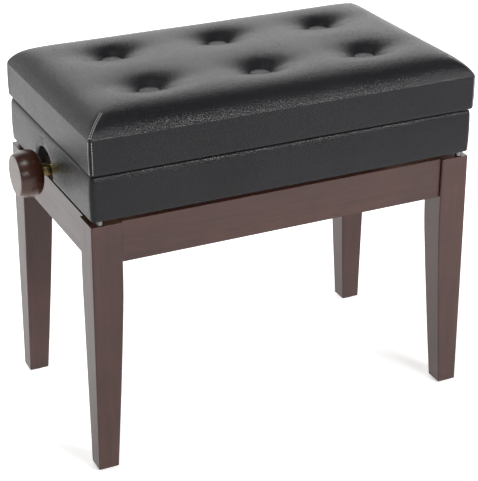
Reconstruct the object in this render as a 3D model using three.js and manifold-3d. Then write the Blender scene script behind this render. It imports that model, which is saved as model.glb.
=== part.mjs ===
// Adjustable piano bench with music storage.
// Millimetres, +Z up, front towards -Y, left end towards -X.
// The origin is on the floor, under the middle of the bench.
import * as THREE from 'three';
import { mergeVertices } from 'three/addons/utils/BufferGeometryUtils.js';
import Module from 'manifold-3d';

const wasm = await Module();
wasm.setup();

// ---------------------------------------------------------------- driving dimensions
const GAP = 0.3;                  // left between pieces that touch

const FRAME_LENGTH = 550;         // over the legs, along X
const FRAME_DEPTH = 316.6;        // over the legs, along Y
const FRAME_TOP = 357.8;
const GLIDE_HEIGHT = 3;
const LEG_TOP = [40.8, 41.8];     // section of a leg beside the aprons
const LEG_FOOT = [28.4, 28.2];
const LEG_RAKE = 4;               // how far a foot stands out past its leg's top
const LEG_EDGE = 1.4;             // eased long edges
const TAPER_START = 296;          // the legs are straight above this height

const APRON_HEIGHT = 56.3;
const APRON_THICK = 22;
const APRON_RECESS = 4.5;         // behind the legs' outer faces

const RAIL_X = 170;               // wooden cross rails that carry the lift
const RAIL_WIDTH = 36;
const RAIL_TOP = 338;
const RAIL_HEIGHT = 26;

const BLOCK_REACH = 44;           // corner block, along each apron from the leg
const BLOCK_HEIGHT = 34;

const LIFT_TRAVEL = 80;           // seat travel, lowest to highest
const ARM_LENGTH = 230;           // between an arm's end pivots
const ARM_HEIGHT = 20;
const ARM_THICK = 3;
const PIVOT_LEFT = -114;          // the fixed pivots' X
const PIVOT_LOW = 352;            // their heights, with the seat at its lowest
const PIVOT_HIGH = 387;
const ARM_OUTER_Y = 74;           // outer arms hinge on the frame
const ARM_INNER_Y = 68;           // inner arms hinge on the seat
const PIN_RADIUS = 4;
const TUBE_RADIUS = 5;
const OPEN_PIVOT = 1.9;           // clearance of the pivots left open in the model

const CHANNEL_Y = 81.2;           // middle of the channels' upright flanges
const CHANNEL_HALF = 187;
const CHANNEL_THICK = 2.5;
const CHANNEL_FLANGE = 20;

const SHAFT_Z = 376;
const SHAFT_RADIUS = 5;
const SHAFT_HALF = 304;
const KNOB_INNER = 287;           // X of the knobs' inner ends
const KNOB_OUTER = 320.5;
const COLLAR_RADIUS = 7;
const COLLAR_INNER = 264;

const BOX_X = 274.5;              // half length of the storage box over its cover
const BOX_FRONT = -161;
const BOX_REAR = 157.5;
const BOX_BOTTOM = 365;
const BOX_TOP = 424.6;
const COVER_THICK = 2.4;
const COVER_RADIUS = 9;
const WALL_THICK = 10;
const FLOOR_BOTTOM = 399.4;
const FLOOR_THICK = 5;
const NOTCH_Y = 16;               // notch for the shaft in each end of the box
const NOTCH_HALF = 30;
const NOTCH_TOP = 401.5;
const NOTCH_ARCH = 23;            // rise of the arch above the notch's upright sides

const LID_X = 275;
const LID_FRONT = -164;
const LID_REAR = 160;
const LID_BOTTOM = 428;
const BOARD_THICK = 12;
const BOARD_INSET = 3.5;
const CUSHION_EDGE = 474;         // height of the lid's top edge
const CUSHION_TOP = 506;
const SEAT_COVER = 1.5;           // thickness of the lid's cover
const BUTTON_X = 157;             // button spacing, two rows of three
const BUTTON_Y = 66;
const BUTTON_RADIUS = 14.5;
const BUTTON_TOP = 496;
const DIMPLE_RADIUS = 18;
const DIMPLE_FLOOR = 487;

const HINGE_Y = 162;              // piano hinge axis
const HINGE_Z = 426.25;
const HINGE_HALF = 240;
const HINGE_KNUCKLES = 8;
const KNUCKLE_RADIUS = 2;
const HINGE_PIN = 0.9;

const STAY_X = 252;               // parallel-arm lid stay, beside the box's right wall
const STAY_PIVOT = [112, 415.5];  // Y and Z of the long link's pivot on the wall
const STAY_LONG = [-135, -6];     // long link, from its pivot to the elbow
const STAY_HEIGHT = 9;
const STAY_PIN = 2;

// ---------------------------------------------------------------- materials
const paint = (color, roughness, metalness) =>
  new THREE.MeshStandardMaterial({ color, roughness, metalness });
const WALNUT = paint(0x4a2a24, 0.35, 0);
const RAW_WOOD = paint(0xb08a62, 0.7, 0);
const PLYWOOD = paint(0xa98257, 0.75, 0);
const VINYL = paint(0x2b2b2e, 0.45, 0);
const STEEL = paint(0x8d9196, 0.4, 0.9);
const BLACK_STEEL = paint(0x1f2022, 0.5, 0.6);
const BRASS = paint(0xb0995a, 0.3, 0.95);
const PLASTIC = paint(0x1c1c1c, 0.6, 0);
const FOAM = paint(0xd8d2c0, 0.9, 0);

// ---------------------------------------------------------------- solids
const bench = new THREE.Group();

// a closed three.js geometry becomes a manifold solid
function solid(geometry) {
  const bare = geometry.clone();
  bare.deleteAttribute('normal');
  bare.deleteAttribute('uv');
  const merged = mergeVertices(bare, 1e-4);
  return new wasm.Manifold(new wasm.Mesh({
    numProp: 3,
    vertProperties: Float32Array.from(merged.attributes.position.array),
    triVerts: Uint32Array.from(merged.index.array),
  }));
}

function geometryOf(manifold) {
  const mesh = manifold.getMesh();
  const geometry = new THREE.BufferGeometry();
  const corners = new Float32Array(mesh.numVert * 3);
  for (let i = 0; i < mesh.numVert; i += 1) {
    for (let k = 0; k < 3; k += 1) {
      corners[3 * i + k] = mesh.vertProperties[mesh.numProp * i + k];
    }
  }
  geometry.setAttribute('position', new THREE.BufferAttribute(corners, 3));
  geometry.setIndex(new THREE.BufferAttribute(Uint32Array.from(mesh.triVerts), 1));
  geometry.computeVertexNormals();
  return geometry;
}

const isManifold = (shape) => shape instanceof wasm.Manifold;

function add(name, shape, material) {
  const mesh = new THREE.Mesh(isManifold(shape) ? geometryOf(shape) : shape, material);
  mesh.name = name;
  bench.add(mesh);
}

// a block between two corners
function block(low, high) {
  const size = high.map((value, i) => value - low[i]);
  const geometry = new THREE.BoxGeometry(...size);
  geometry.translate(...low.map((value, i) => value + size[i] / 2));
  return geometry;
}

// a cylinder along one axis, from one end to the other
function rod(axis, from, to, centre, radius, sides = 20) {
  const geometry = new THREE.CylinderGeometry(radius, radius, to - from, sides);
  const middle = (from + to) / 2;
  if (axis === 'x') {
    geometry.rotateZ(-Math.PI / 2);
    geometry.translate(middle, centre[0], centre[1]);
  } else if (axis === 'y') {
    geometry.translate(centre[0], middle, centre[1]);
  } else {
    geometry.rotateX(Math.PI / 2);
    geometry.translate(centre[0], centre[1], middle);
  }
  return geometry;
}

// an outline in the XY plane, given height from low to high
function slab(outline, low, high, curveSegments = 6) {
  const geometry = new THREE.ExtrudeGeometry(outline, {
    depth: high - low, bevelEnabled: false, curveSegments,
  });
  geometry.translate(0, 0, low);
  return geometry;
}

// an outline whose X is the bench's X and whose Y is height, given depth along Y
function plate(outline, front, rear, curveSegments = 6) {
  const geometry = new THREE.ExtrudeGeometry(outline, {
    depth: rear - front, bevelEnabled: false, curveSegments,
  });
  geometry.rotateX(Math.PI / 2);
  geometry.translate(0, rear, 0);
  return geometry;
}

// an outline whose X is the bench's Y and whose Y is height, given length along X
function profile(outline, left, right, curveSegments = 6) {
  const geometry = new THREE.ExtrudeGeometry(outline, {
    depth: right - left, bevelEnabled: false, curveSegments,
  });
  geometry.rotateY(Math.PI / 2);
  geometry.rotateX(Math.PI / 2);
  geometry.translate(left, 0, 0);
  return geometry;
}

function polygon(points) {
  return new THREE.Shape(points.map(([x, y]) => new THREE.Vector2(x, y)));
}

function roundedRectangle(x0, y0, x1, y1, radius) {
  const shape = new THREE.Shape();
  shape.absarc(x1 - radius, y0 + radius, radius, -Math.PI / 2, 0);
  shape.absarc(x1 - radius, y1 - radius, radius, 0, Math.PI / 2);
  shape.absarc(x0 + radius, y1 - radius, radius, Math.PI / 2, Math.PI);
  shape.absarc(x0 + radius, y0 + radius, radius, Math.PI, 1.5 * Math.PI);
  return shape;
}

// rings of equal point count, one above the other, closed at both ends
function loft(rings) {
  const count = rings[0].length;
  const points = rings.flat();
  const index = [];
  for (let r = 0; r + 1 < rings.length; r += 1) {
    for (let i = 0; i < count; i += 1) {
      const a = r * count + i;
      const b = r * count + (i + 1) % count;
      index.push(a, b, b + count, a, b + count, a + count);
    }
  }
  const last = (rings.length - 1) * count;
  for (let i = 1; i + 1 < count; i += 1) {
    index.push(0, i + 1, i);
    index.push(last, last + i, last + i + 1);
  }
  const geometry = new THREE.BufferGeometry();
  geometry.setAttribute('position', new THREE.Float32BufferAttribute(points.flat(), 3));
  geometry.setIndex(index);
  geometry.computeVertexNormals();
  return geometry;
}

// the four corners of the bench, as signs along X and Y
const CORNERS = [
  ['front_left', -1, -1],
  ['front_right', 1, -1],
  ['rear_left', -1, 1],
  ['rear_right', 1, 1],
];
const ENDS = [['left', -1], ['right', 1]];
const SIDES = [['front', -1], ['rear', 1]];
const ordered = (a, b) => (a < b ? [a, b] : [b, a]);

// a block given on one corner of the bench and mirrored by the signs
function mirroredBlock(sx, sy, low, high) {
  const [x0, x1] = ordered(sx * low[0], sx * high[0]);
  const [y0, y1] = ordered(sy * low[1], sy * high[1]);
  return block([x0, y0, low[2]], [x1, y1, high[2]]);
}

// ---------------------------------------------------------------- frame
const legOuterX = FRAME_LENGTH / 2;
const legOuterY = FRAME_DEPTH / 2;

// an eight-sided section: a rectangle with eased corners, running anticlockwise
function legSection(sx, sy, outerX, outerY, width, depth, z) {
  const [x0, x1] = ordered(sx * outerX, sx * (outerX - width));
  const [y0, y1] = ordered(sy * outerY, sy * (outerY - depth));
  const e = LEG_EDGE;
  return [
    [x0 + e, y0, z], [x1 - e, y0, z], [x1, y0 + e, z], [x1, y1 - e, z],
    [x1 - e, y1, z], [x0 + e, y1, z], [x0, y1 - e, z], [x0, y0 + e, z],
  ];
}

// how much of the taper is done at a height: a gentle curve, then a straight run
function taperAt(z) {
  const curve = 60;
  const below = TAPER_START - z;
  const run = TAPER_START - GLIDE_HEIGHT - curve / 2;
  const drop = below < curve ? below * below / (2 * curve) : below - curve / 2;
  return drop / run;
}

for (const [corner, sx, sy] of CORNERS) {
  const heights = [GLIDE_HEIGHT, 60, 120, 180, TAPER_START - 60, TAPER_START - 40,
    TAPER_START - 20, TAPER_START, FRAME_TOP];
  const rings = heights.map((z) => {
    const t = z > TAPER_START ? 0 : taperAt(z);
    const rake = LEG_RAKE * (FRAME_TOP - z) / FRAME_TOP;
    const width = THREE.MathUtils.lerp(LEG_TOP[0], LEG_FOOT[0], t);
    const depth = THREE.MathUtils.lerp(LEG_TOP[1], LEG_FOOT[1], t);
    return legSection(sx, sy, legOuterX + rake, legOuterY, width + rake * (1 - t), depth, z);
  });
  add(`leg_${corner}`, loft(rings), WALNUT);

  const footX = sx * (legOuterX + LEG_RAKE - LEG_FOOT[0] / 2);
  const footY = sy * (legOuterY - LEG_FOOT[1] / 2);
  add(`glide_${corner}`,
    rod('z', 0, GLIDE_HEIGHT - GAP, [footX, footY], 10, 16), PLASTIC);

  // bumper stud in the leg's top, under the box's corner
  const studX = sx * (legOuterX - 13);
  const studY = sy * (legOuterY - 6);
  add(`bumper_stud_${corner}`,
    rod('z', FRAME_TOP + GAP, BOX_BOTTOM - GAP, [studX, studY], 4.5, 14), STEEL);
}

const apronBottom = FRAME_TOP - APRON_HEIGHT;
const apronOuterX = legOuterX - APRON_RECESS;
const apronOuterY = legOuterY - APRON_RECESS;
const legInnerX = legOuterX - LEG_TOP[0];
const legInnerY = legOuterY - LEG_TOP[1];

for (const [side, sy] of SIDES) {
  const [y0, y1] = ordered(sy * apronOuterY, sy * (apronOuterY - APRON_THICK));
  const half = legInnerX - GAP;
  add(`apron_${side}`, block([-half, y0, apronBottom], [half, y1, FRAME_TOP]), WALNUT);
}
for (const [end, sx] of ENDS) {
  const [x0, x1] = ordered(sx * apronOuterX, sx * (apronOuterX - APRON_THICK));
  const half = legInnerY - GAP;
  add(`apron_${end}`, block([x0, -half, apronBottom], [x1, half, FRAME_TOP]), WALNUT);
}

const apronInnerX = apronOuterX - APRON_THICK - GAP;
const apronInnerY = apronOuterY - APRON_THICK - GAP;
for (const [corner, sx, sy] of CORNERS) {
  const atLegX = legInnerX - GAP;
  const atLegY = legInnerY - GAP;
  const outline = [
    [atLegX, apronInnerY],
    [atLegX - BLOCK_REACH, apronInnerY],
    [apronInnerX, atLegY - BLOCK_REACH],
    [apronInnerX, atLegY],
    [atLegX, atLegY],
  ].map(([x, y]) => [sx * x, sy * y]);
  const middle = (FRAME_TOP + apronBottom) / 2;
  const shape = slab(polygon(outline), middle - BLOCK_HEIGHT / 2, middle + BLOCK_HEIGHT / 2);
  add(`corner_block_${corner}`, shape, RAW_WOOD);
}

for (const [end, sx] of ENDS) {
  const shape = mirroredBlock(sx, 1,
    [RAIL_X - RAIL_WIDTH / 2, -apronInnerY, RAIL_TOP - RAIL_HEIGHT],
    [RAIL_X + RAIL_WIDTH / 2, apronInnerY, RAIL_TOP]);
  add(`cross_rail_${end}`, shape, RAW_WOOD);
}

// ---------------------------------------------------------------- scissor lift
const startAngle = Math.asin((PIVOT_HIGH - PIVOT_LOW) / ARM_LENGTH);
const endAngle = Math.asin((PIVOT_HIGH - PIVOT_LOW + LIFT_TRAVEL) / ARM_LENGTH);
const reach = ARM_LENGTH * Math.cos(startAngle);
const shortReach = ARM_LENGTH * Math.cos(endAngle);
const footX = PIVOT_LEFT + reach;         // X of the travelling tube, seat down
const slotStart = PIVOT_LEFT + shortReach - TUBE_RADIUS - 4;
const slotEnd = footX + TUBE_RADIUS + 2;

// base channels on the cross rails: an upright flange with a foot turned outwards, and
// a stud on which the outer arm turns
for (const [side, sy] of SIDES) {
  const bottom = RAIL_TOP + GAP;
  const half = CHANNEL_THICK / 2;
  const upright = mirroredBlock(1, sy,
    [-CHANNEL_HALF, CHANNEL_Y - half, bottom], [CHANNEL_HALF, CHANNEL_Y + half, 363.5]);
  const foot = mirroredBlock(1, sy,
    [-CHANNEL_HALF, CHANNEL_Y - half, bottom],
    [CHANNEL_HALF, CHANNEL_Y + CHANNEL_FLANGE, bottom + CHANNEL_THICK]);
  const through = ordered(sy * (CHANNEL_Y - 10), sy * (CHANNEL_Y + 10));
  const clear = TUBE_RADIUS + GAP;
  const slot = block([slotStart, through[0], PIVOT_LOW - clear],
    [slotEnd, through[1], PIVOT_LOW + clear]);
  const studReach = ordered(sy * (ARM_OUTER_Y - 4), sy * CHANNEL_Y);
  const stud = rod('y', ...studReach, [PIVOT_LEFT, PIVOT_LOW], PIN_RADIUS, 16);
  const shape = solid(upright).add(solid(foot)).subtract(solid(slot)).add(solid(stud));
  add(`base_channel_${side}`, shape, BLACK_STEEL);
}

// top channels under the box floor, turned the other way up, each with a pivot stud
for (const [side, sy] of SIDES) {
  const top = FLOOR_BOTTOM - GAP;
  const half = CHANNEL_THICK / 2;
  const low = 371;
  const upright = mirroredBlock(1, sy,
    [-CHANNEL_HALF, CHANNEL_Y - half, low], [CHANNEL_HALF, CHANNEL_Y + half, top]);
  const flange = mirroredBlock(1, sy,
    [-CHANNEL_HALF, CHANNEL_Y - half, top - CHANNEL_THICK],
    [CHANNEL_HALF, CHANNEL_Y + CHANNEL_FLANGE, top]);
  const through = ordered(sy * (CHANNEL_Y - 10), sy * (CHANNEL_Y + 10));
  const clear = PIN_RADIUS + OPEN_PIVOT;
  const slot = block([slotStart, through[0], PIVOT_HIGH - clear],
    [slotEnd, through[1], PIVOT_HIGH + clear]);
  const studReach = ordered(sy * (ARM_INNER_Y - 4), sy * CHANNEL_Y);
  const stud = rod('y', ...studReach, [PIVOT_LEFT, PIVOT_HIGH], PIN_RADIUS, 16);
  const shape = solid(upright).add(solid(flange)).subtract(solid(slot)).add(solid(stud));
  add(`top_channel_${side}`, shape, BLACK_STEEL);
}

// a flat bar with round ends between two pivots, in the XZ plane
function armOutline(from, to) {
  const angle = Math.atan2(to[1] - from[1], to[0] - from[0]);
  const radius = ARM_HEIGHT / 2;
  const shape = new THREE.Shape();
  shape.absarc(to[0], to[1], radius, angle - Math.PI / 2, angle + Math.PI / 2);
  shape.absarc(from[0], from[1], radius, angle + Math.PI / 2, angle + 1.5 * Math.PI);
  return shape;
}

const lowLeft = [PIVOT_LEFT, PIVOT_LOW];
const highLeft = [PIVOT_LEFT, PIVOT_HIGH];
const lowRight = [footX, PIVOT_LOW];
const highRight = [footX, PIVOT_HIGH];
const crossing = [(PIVOT_LEFT + footX) / 2, (PIVOT_LOW + PIVOT_HIGH) / 2];

for (const [side, sy] of SIDES) {
  const across = (from, to, centre, radius) =>
    solid(rod('y', ...ordered(sy * from, sy * to), centre, radius, 16));
  const half = ARM_THICK / 2;
  const bar = (y, from, to) =>
    solid(plate(armOutline(from, to), ...ordered(sy * (y - half), sy * (y + half)), 8));

  // outer arm: hinged low on the frame, with its centre pin and its top slide pin
  const outer = bar(ARM_OUTER_Y, lowLeft, highRight)
    .subtract(across(ARM_OUTER_Y - 9, ARM_OUTER_Y + 9, lowLeft, PIN_RADIUS + GAP))
    .add(across(ARM_INNER_Y - 4, ARM_OUTER_Y, crossing, PIN_RADIUS))
    .add(across(ARM_OUTER_Y, CHANNEL_Y + 4, highRight, PIN_RADIUS));
  add(`lift_arm_outer_${side}`, outer, STEEL);

  // inner arm: hinged high on the seat, with a long hole round the travelling tube
  const long = TUBE_RADIUS + 4.5;
  const high = TUBE_RADIUS + OPEN_PIVOT;
  const longHole = block([lowRight[0] - long, -12, PIVOT_LOW - high],
    [lowRight[0] + TUBE_RADIUS + 1, 12, PIVOT_LOW + high]);
  longHole.translate(0, sy * ARM_INNER_Y, 0);
  const inner = bar(ARM_INNER_Y, highLeft, lowRight)
    .subtract(across(ARM_INNER_Y - 9, ARM_INNER_Y + 9, highLeft, PIN_RADIUS + GAP))
    .subtract(across(ARM_INNER_Y - 9, ARM_INNER_Y + 9, crossing, PIN_RADIUS + OPEN_PIVOT))
    .subtract(solid(longHole));
  add(`lift_arm_inner_${side}`, inner, STEEL);
}

const tubeHalf = CHANNEL_Y + 5;
add('travelling_cross_shaft',
  rod('y', -tubeHalf, tubeHalf, lowRight, TUBE_RADIUS, 16), STEEL);

// nut block: threaded on the drive shaft above, holding the travelling shaft below
const nutBody = block([footX - 10, -12, PIVOT_LOW - 10], [footX + 10, 12, SHAFT_Z + 10]);
const nutThread = rod('x', footX - 12, footX + 12, [0, SHAFT_Z], SHAFT_RADIUS + GAP);
const nutCross = rod('y', -14, 14, lowRight, TUBE_RADIUS + GAP);
add('nut_block',
  solid(nutBody).subtract(solid(nutThread)).subtract(solid(nutCross)), BRASS);

// ---------------------------------------------------------------- drive shaft and knobs
add('drive_shaft', rod('x', -SHAFT_HALF, SHAFT_HALF, [0, SHAFT_Z], SHAFT_RADIUS, 20), STEEL);

for (const [end, sx] of ENDS) {
  const upright = mirroredBlock(sx, 1, [RAIL_X, -16, RAIL_TOP + GAP], [RAIL_X + 3, 16, 389]);
  const foot = mirroredBlock(sx, 1,
    [RAIL_X - RAIL_WIDTH / 2, -16, RAIL_TOP + GAP], [RAIL_X + 3, 16, RAIL_TOP + GAP + 3]);
  const through = ordered(sx * (RAIL_X - 5), sx * (RAIL_X + 8));
  const hole = rod('x', ...through, [0, SHAFT_Z], SHAFT_RADIUS + GAP);
  const shape = solid(upright).add(solid(foot)).subtract(solid(hole));
  add(`shaft_bracket_${end}`, shape, BLACK_STEEL);
}

// a shape turned about the shaft: a profile of [radius, distance from the middle]
function turned(points, sx, sides) {
  const geometry = new THREE.LatheGeometry(
    points.map(([radius, along]) => new THREE.Vector2(radius, along)), sides);
  geometry.rotateZ(-sx * Math.PI / 2);
  geometry.translate(0, 0, SHAFT_Z);
  return geometry;
}

for (const [end, sx] of ENDS) {
  const bore = SHAFT_RADIUS + GAP;
  const knobProfile = [
    [bore, KNOB_INNER], [19, KNOB_INNER], [25, KNOB_INNER + 1.7], [29.3, KNOB_INNER + 5.5],
    [31.3, KNOB_INNER + 11], [31.5, KNOB_INNER + 17], [30.6, KNOB_INNER + 25],
    [28, KNOB_OUTER - 1], [27, KNOB_OUTER], [0, KNOB_OUTER],
    [0, SHAFT_HALF + GAP], [bore, SHAFT_HALF + GAP], [bore, KNOB_INNER],
  ];
  add(`knob_${end}`, turned(knobProfile, sx, 36), WALNUT);

  const collarProfile = [
    [bore, COLLAR_INNER], [COLLAR_RADIUS, COLLAR_INNER],
    [COLLAR_RADIUS, KNOB_INNER - GAP], [bore, KNOB_INNER - GAP], [bore, COLLAR_INNER],
  ];
  add(`shaft_collar_${end}`, turned(collarProfile, sx, 20), BRASS);
}

// ---------------------------------------------------------------- storage box
// arch-topped cutter for the notches in both ends of the box
const archShape = new THREE.Shape();
archShape.moveTo(NOTCH_Y - NOTCH_HALF, BOX_BOTTOM - 5);
archShape.lineTo(NOTCH_Y + NOTCH_HALF, BOX_BOTTOM - 5);
archShape.absellipse(NOTCH_Y, NOTCH_TOP - NOTCH_ARCH, NOTCH_HALF, NOTCH_ARCH, 0, Math.PI);
const notchCutter = solid(profile(archShape, -BOX_X - 5, BOX_X + 5, 12));

const coverOuter = roundedRectangle(-BOX_X, BOX_FRONT, BOX_X, BOX_REAR, COVER_RADIUS);
const t = COVER_THICK;
const coverInner = roundedRectangle(
  -BOX_X + t, BOX_FRONT + t, BOX_X - t, BOX_REAR - t, COVER_RADIUS - t);
const coverRing = solid(slab(coverOuter, BOX_BOTTOM, BOX_TOP))
  .subtract(solid(slab(coverInner, BOX_BOTTOM - 5, BOX_TOP + 5)));
add('box_cover', coverRing.subtract(notchCutter), VINYL);

const wallX = BOX_X - COVER_THICK - GAP;
const wallFront = BOX_FRONT + COVER_THICK + GAP;
const wallRear = BOX_REAR - COVER_THICK - GAP;
const wallBottom = BOX_BOTTOM + GAP;
const wallTop = BOX_TOP - GAP;

// front and rear walls run the full length and have their outer corners cut off
for (const [side, sy] of SIDES) {
  const outer = sy < 0 ? wallFront : wallRear;
  const inner = outer - sy * WALL_THICK;
  const cut = 5;
  const outline = polygon([
    [-wallX, inner], [wallX, inner], [wallX, outer - sy * cut],
    [wallX - cut, outer], [-wallX + cut, outer], [-wallX, outer - sy * cut],
  ]);
  add(`box_wall_${side}`, slab(outline, wallBottom, wallTop), PLYWOOD);
}
const innerFront = wallFront + WALL_THICK + GAP;
const innerRear = wallRear - WALL_THICK - GAP;
for (const [end, sx] of ENDS) {
  const [x0, x1] = ordered(sx * wallX, sx * (wallX - WALL_THICK));
  const wall = solid(block([x0, innerFront, wallBottom], [x1, innerRear, wallTop]));
  add(`box_wall_${end}`, wall.subtract(notchCutter), PLYWOOD);
}
const floorX = wallX - WALL_THICK - GAP;
add('box_floor', block([-floorX, innerFront, FLOOR_BOTTOM],
  [floorX, innerRear, FLOOR_BOTTOM + FLOOR_THICK]), PLYWOOD);

// ---------------------------------------------------------------- lid
const boardOutline = roundedRectangle(-LID_X + BOARD_INSET, LID_FRONT + BOARD_INSET,
  LID_X - BOARD_INSET, LID_REAR - BOARD_INSET, 5);
add('lid_board', slab(boardOutline, LID_BOTTOM, LID_BOTTOM + BOARD_THICK), PLYWOOD);

const buttonPlaces = [];
for (const [row, sy] of SIDES) {
  for (const [place, sx] of [['left', -1], ['middle', 0], ['right', 1]]) {
    const y = (LID_FRONT + LID_REAR) / 2 + sy * BUTTON_Y;
    buttonPlaces.push([`button_${row}_${place}`, sx * BUTTON_X, y]);
  }
}

// one rounded outline of the lid, moved in from its edge, at a height
function lidRing(inset, z) {
  const radius = Math.max(3, 10 - inset / 4);
  const outline = roundedRectangle(
    -LID_X + inset, LID_FRONT + inset, LID_X - inset, LID_REAR - inset, radius);
  return outline.extractPoints(3).shape.map((point) => [point.x, point.y, z]);
}

// upright sides, a soft shoulder and a gently crowned top with a dimple for each button;
// margin is how far the surface lies inside the lid's outer surface
function cushionBody(margin, bottom) {
  const crown = CUSHION_TOP - CUSHION_EDGE;
  const body = solid(loft([
    lidRing(margin, bottom),
    lidRing(margin, CUSHION_EDGE - margin / 2),
    lidRing(margin + 6, CUSHION_EDGE + crown * 0.45 - margin),
    lidRing(margin + 18, CUSHION_EDGE + crown * 0.8 - margin),
    lidRing(margin + 42, CUSHION_EDGE + crown * 0.96 - margin),
    lidRing(margin + 80, CUSHION_TOP - margin),
  ]));
  return buttonPlaces.reduce((shape, [, x, y]) => shape.subtract(solid(
    rod('z', DIMPLE_FLOOR - margin, CUSHION_TOP + 5, [x, y], DIMPLE_RADIUS + margin, 16))), body);
}

const boardTop = LID_BOTTOM + BOARD_THICK;
add('seat_cover',
  cushionBody(0, LID_BOTTOM).subtract(cushionBody(SEAT_COVER, LID_BOTTOM - 5)), VINYL);
add('foam_pad', cushionBody(SEAT_COVER + GAP, boardTop + GAP), FOAM);

// covered buttons: a low dome on a flat back
for (const [name, x, y] of buttonPlaces) {
  const back = DIMPLE_FLOOR + GAP;
  const dome = new THREE.LatheGeometry([
    [0, back], [BUTTON_RADIUS - 1, back], [BUTTON_RADIUS, back + 3],
    [BUTTON_RADIUS * 0.75, BUTTON_TOP - 1.2], [BUTTON_RADIUS * 0.4, BUTTON_TOP - 0.2],
    [0, BUTTON_TOP],
  ].map(([radius, z]) => new THREE.Vector2(radius, z)), 20);
  dome.rotateX(Math.PI / 2);
  dome.translate(x, y, 0);
  add(name, dome, VINYL);
}

// ---------------------------------------------------------------- piano hinge
// the box's leaf has the even knuckles and the lid's leaf the odd ones
const knuckleLength = 2 * HINGE_HALF / HINGE_KNUCKLES;
function hingeLeaf(low, high, parity, inner) {
  const clearOfKnuckle = HINGE_Y - KNUCKLE_RADIUS - GAP;
  let leaf = solid(block([-HINGE_HALF, inner, low], [HINGE_HALF, clearOfKnuckle, high]));
  for (let k = parity; k < HINGE_KNUCKLES; k += 2) {
    const from = -HINGE_HALF + k * knuckleLength + GAP / 2;
    const to = from + knuckleLength - GAP;
    leaf = leaf.add(solid(block([from, clearOfKnuckle - 1, low], [to, HINGE_Y - 1.3, high])));
    leaf = leaf.add(solid(rod('x', from, to, [HINGE_Y, HINGE_Z], KNUCKLE_RADIUS, 14)));
  }
  const bore = rod('x', -HINGE_HALF - 5, HINGE_HALF + 5, [HINGE_Y, HINGE_Z],
    HINGE_PIN + 0.25, 12);
  return leaf.subtract(solid(bore));
}
add('hinge_leaf_box', hingeLeaf(BOX_TOP + GAP, HINGE_Z - 0.25, 0, 136), BRASS);
add('hinge_leaf_lid', hingeLeaf(HINGE_Z + 0.25, LID_BOTTOM - GAP, 1, 134), BRASS);
add('hinge_pin', rod('x', -HINGE_HALF - 1, HINGE_HALF + 1, [HINGE_Y, HINGE_Z],
  HINGE_PIN, 10), STEEL);

// ---------------------------------------------------------------- lid stay
// The long link stays parallel to the lid's arm, and the short link to the wall's arm.
const stayElbow = [STAY_PIVOT[0] + STAY_LONG[0], STAY_PIVOT[1] + STAY_LONG[1]];
const stayOnLid = [HINGE_Y + STAY_LONG[0], HINGE_Z + STAY_LONG[1]];

// a flat bar with round ends between two pivots, in the YZ plane
function stayBar(from, to, left, right) {
  const angle = Math.atan2(to[1] - from[1], to[0] - from[0]);
  const radius = STAY_HEIGHT / 2;
  const shape = new THREE.Shape();
  shape.absarc(to[0], to[1], radius, angle - Math.PI / 2, angle + Math.PI / 2);
  shape.absarc(from[0], from[1], radius, angle + Math.PI / 2, angle + 1.5 * Math.PI);
  return solid(profile(shape, left, right, 6));
}

const stayHole = (centre) => solid(rod('x', STAY_X - 8, STAY_X + 8, centre, STAY_PIN + GAP, 12));
const wallFace = wallX - WALL_THICK - GAP;
add('stay_link_long', stayBar(STAY_PIVOT, stayElbow, STAY_X + 1, STAY_X + 3)
  .add(solid(rod('x', STAY_X + 2, wallFace, STAY_PIVOT, STAY_PIN, 12)))
  .add(solid(rod('x', STAY_X - 3.5, STAY_X + 2, stayElbow, STAY_PIN, 12))), BRASS);
add('stay_link_short', stayBar(stayOnLid, stayElbow, STAY_X - 2, STAY_X)
  .subtract(stayHole(stayElbow))
  .add(solid(rod('x', STAY_X - 7, STAY_X - 1, stayOnLid, STAY_PIN, 12))), BRASS);

const ear = block([STAY_X - 5, stayOnLid[0] - 7, stayOnLid[1] - 6],
  [STAY_X - 3, stayOnLid[0] + 7, LID_BOTTOM - GAP]);
const earFlange = block([STAY_X - 18, stayOnLid[0] - 7, LID_BOTTOM - GAP - 2],
  [STAY_X - 3, stayOnLid[0] + 7, LID_BOTTOM - GAP]);
add('stay_bracket', solid(ear).add(solid(earFlange)).subtract(stayHole(stayOnLid)), BRASS);

export default bench;
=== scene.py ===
import math

import bmesh
import bpy
import numpy as np
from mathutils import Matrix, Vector
from mathutils.bvhtree import BVHTree


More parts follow.
